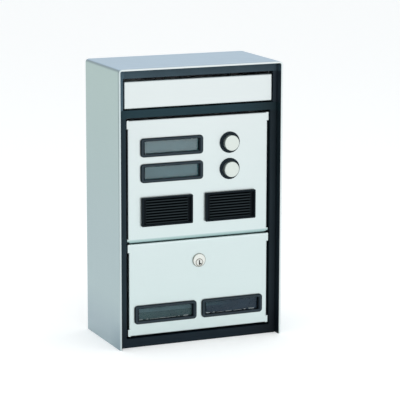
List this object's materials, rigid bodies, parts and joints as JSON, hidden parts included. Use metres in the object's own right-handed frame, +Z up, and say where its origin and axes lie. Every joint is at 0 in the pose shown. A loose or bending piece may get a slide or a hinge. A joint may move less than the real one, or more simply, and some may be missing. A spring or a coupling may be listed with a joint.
{
  "type": "door intercom panel",
  "caption": "Wall-mounted letterbox with built-in door intercom in a folded aluminium rain hood: letter flap, name plates, call buttons, louvred speaker grilles and a lockable lower door.",
  "frame": {"origin": "on the base, under the middle of the case's width and depth", "axes": "+X to the right seen from the front, +Y from the front towards the wall, +Z up"},
  "size_m": [0.26, 0.139, 0.416],
  "materials": {
    "hood_aluminium": "satin anodised",
    "panel_aluminium": "light satin anodised",
    "frame_plastic": "fine-grained anthracite moulding",
    "black_plastic": "satin black moulding",
    "button_metal": "satin turned face",
    "clear_window": "clear acrylic",
    "name_card": "plain grey-blue card",
    "lock_metal": "satin chromed zinc",
    "zinc_steel": "bright zinc plated",
    "black_steel": "black oxide",
    "zinc_sheet": "galvanised sheet",
    "board_green": "solder-masked board",
    "terminal_grey": "moulded terminal housing",
    "brass_parts": "machined",
    "speaker_black": "painted basket and paper cone",
    "dark_rubber": "moulded rubber",
    "grey_cover": "moulded grey ABS",
    "white_nylon": "natural nylon"
  },
  "bodies": {
    "casing": {"back_plate": "zinc_sheet", "board_chips": "black_plastic", "board_screws": "zinc_steel", "board_standoffs": "brass_parts", "button_collar_1": "black_plastic", "button_collar_2": "black_plastic", "button_nuts": "black_plastic", "button_spring_1": "zinc_steel", "button_spring_2": "zinc_steel", "button_switches": "black_plastic", "cable_duct": "grey_cover", "cable_grommet": "dark_rubber", "casing_screws": "zinc_steel", "circuit_board": "board_green", "door_frame": "frame_plastic", "door_hinge_pins": "zinc_steel", "duct_screws": "zinc_steel", "flap_bumpers": "dark_rubber", "flap_rod": "black_steel", "flap_springs": "zinc_steel", "frame_screws": "zinc_steel", "hinge_bushes": "black_plastic", "hood": "hood_aluminium", "inner_casing": "zinc_sheet", "intercom_panel": "panel_aluminium", "intercom_rear_cover": "grey_cover", "letter_chute": "zinc_sheet", "loudspeaker": "speaker_black", "microphone": "zinc_steel", "microphone_boot": "dark_rubber", "microphone_grille": "black_plastic", "name_bezel_1": "black_plastic", "name_bezel_2": "black_plastic", "name_cards": "name_card", "name_window_1": "clear_window", "name_window_2": "clear_window", "panel_clamps": "black_steel", "panel_studs": "zinc_steel", "slot_frame": "frame_plastic", "speaker_gasket": "dark_rubber", "speaker_grille": "black_plastic", "strike_bar": "zinc_sheet", "strike_screws": "zinc_steel", "stud_nuts": "zinc_steel", "stud_spacers": "white_nylon", "terminal_block": "terminal_grey"},
    "letter_flap": {"letter_flap": "panel_aluminium"},
    "door": {"door": "panel_aluminium", "name_bezel_3": "black_plastic", "name_bezel_4": "black_plastic", "name_window_3": "clear_window", "name_window_4": "clear_window", "lock_body": "lock_metal", "lock_nut": "zinc_steel"},
    "lock_plug": {"lock_plug": "lock_metal", "lock_cam": "zinc_steel", "lock_cam_screw": "zinc_steel"},
    "button_1": {"button_cap_1": "button_metal"},
    "button_2": {"button_cap_2": "button_metal"}
  },
  "joints": [
    {"name": "flap_swing", "type": "hinge", "parent": "casing", "child": "letter_flap", "pos_m": [0, -0.0535, 0.3918], "axis": [1, 0, 0], "range_deg": [0, 75], "stiffness_Nm_per_rad": 0.04, "springref_deg": -28.65, "deforming": ["flap_springs"]},
    {"name": "door_swing", "type": "hinge", "parent": "casing", "child": "door", "pos_m": [0, -0.0515, 0.024], "axis": [1, 0, 0], "range_deg": [0, 90]},
    {"name": "lock_turn", "type": "hinge", "parent": "door", "child": "lock_plug", "pos_m": [0, -0.05, 0.1204], "axis": [0, -1, 0], "range_deg": [0, 90]},
    {"name": "button_1_push", "type": "slide", "parent": "casing", "child": "button_1", "axis": [0, 1, 0], "range_m": [0, 0.0025], "stiffness_N_per_m": 400, "springref_m": -0.004, "deforming": ["button_spring_1"]},
    {"name": "button_2_push", "type": "slide", "parent": "casing", "child": "button_2", "axis": [0, 1, 0], "range_m": [0, 0.0025], "stiffness_N_per_m": 400, "springref_m": -0.004, "deforming": ["button_spring_2"]}
  ]
}
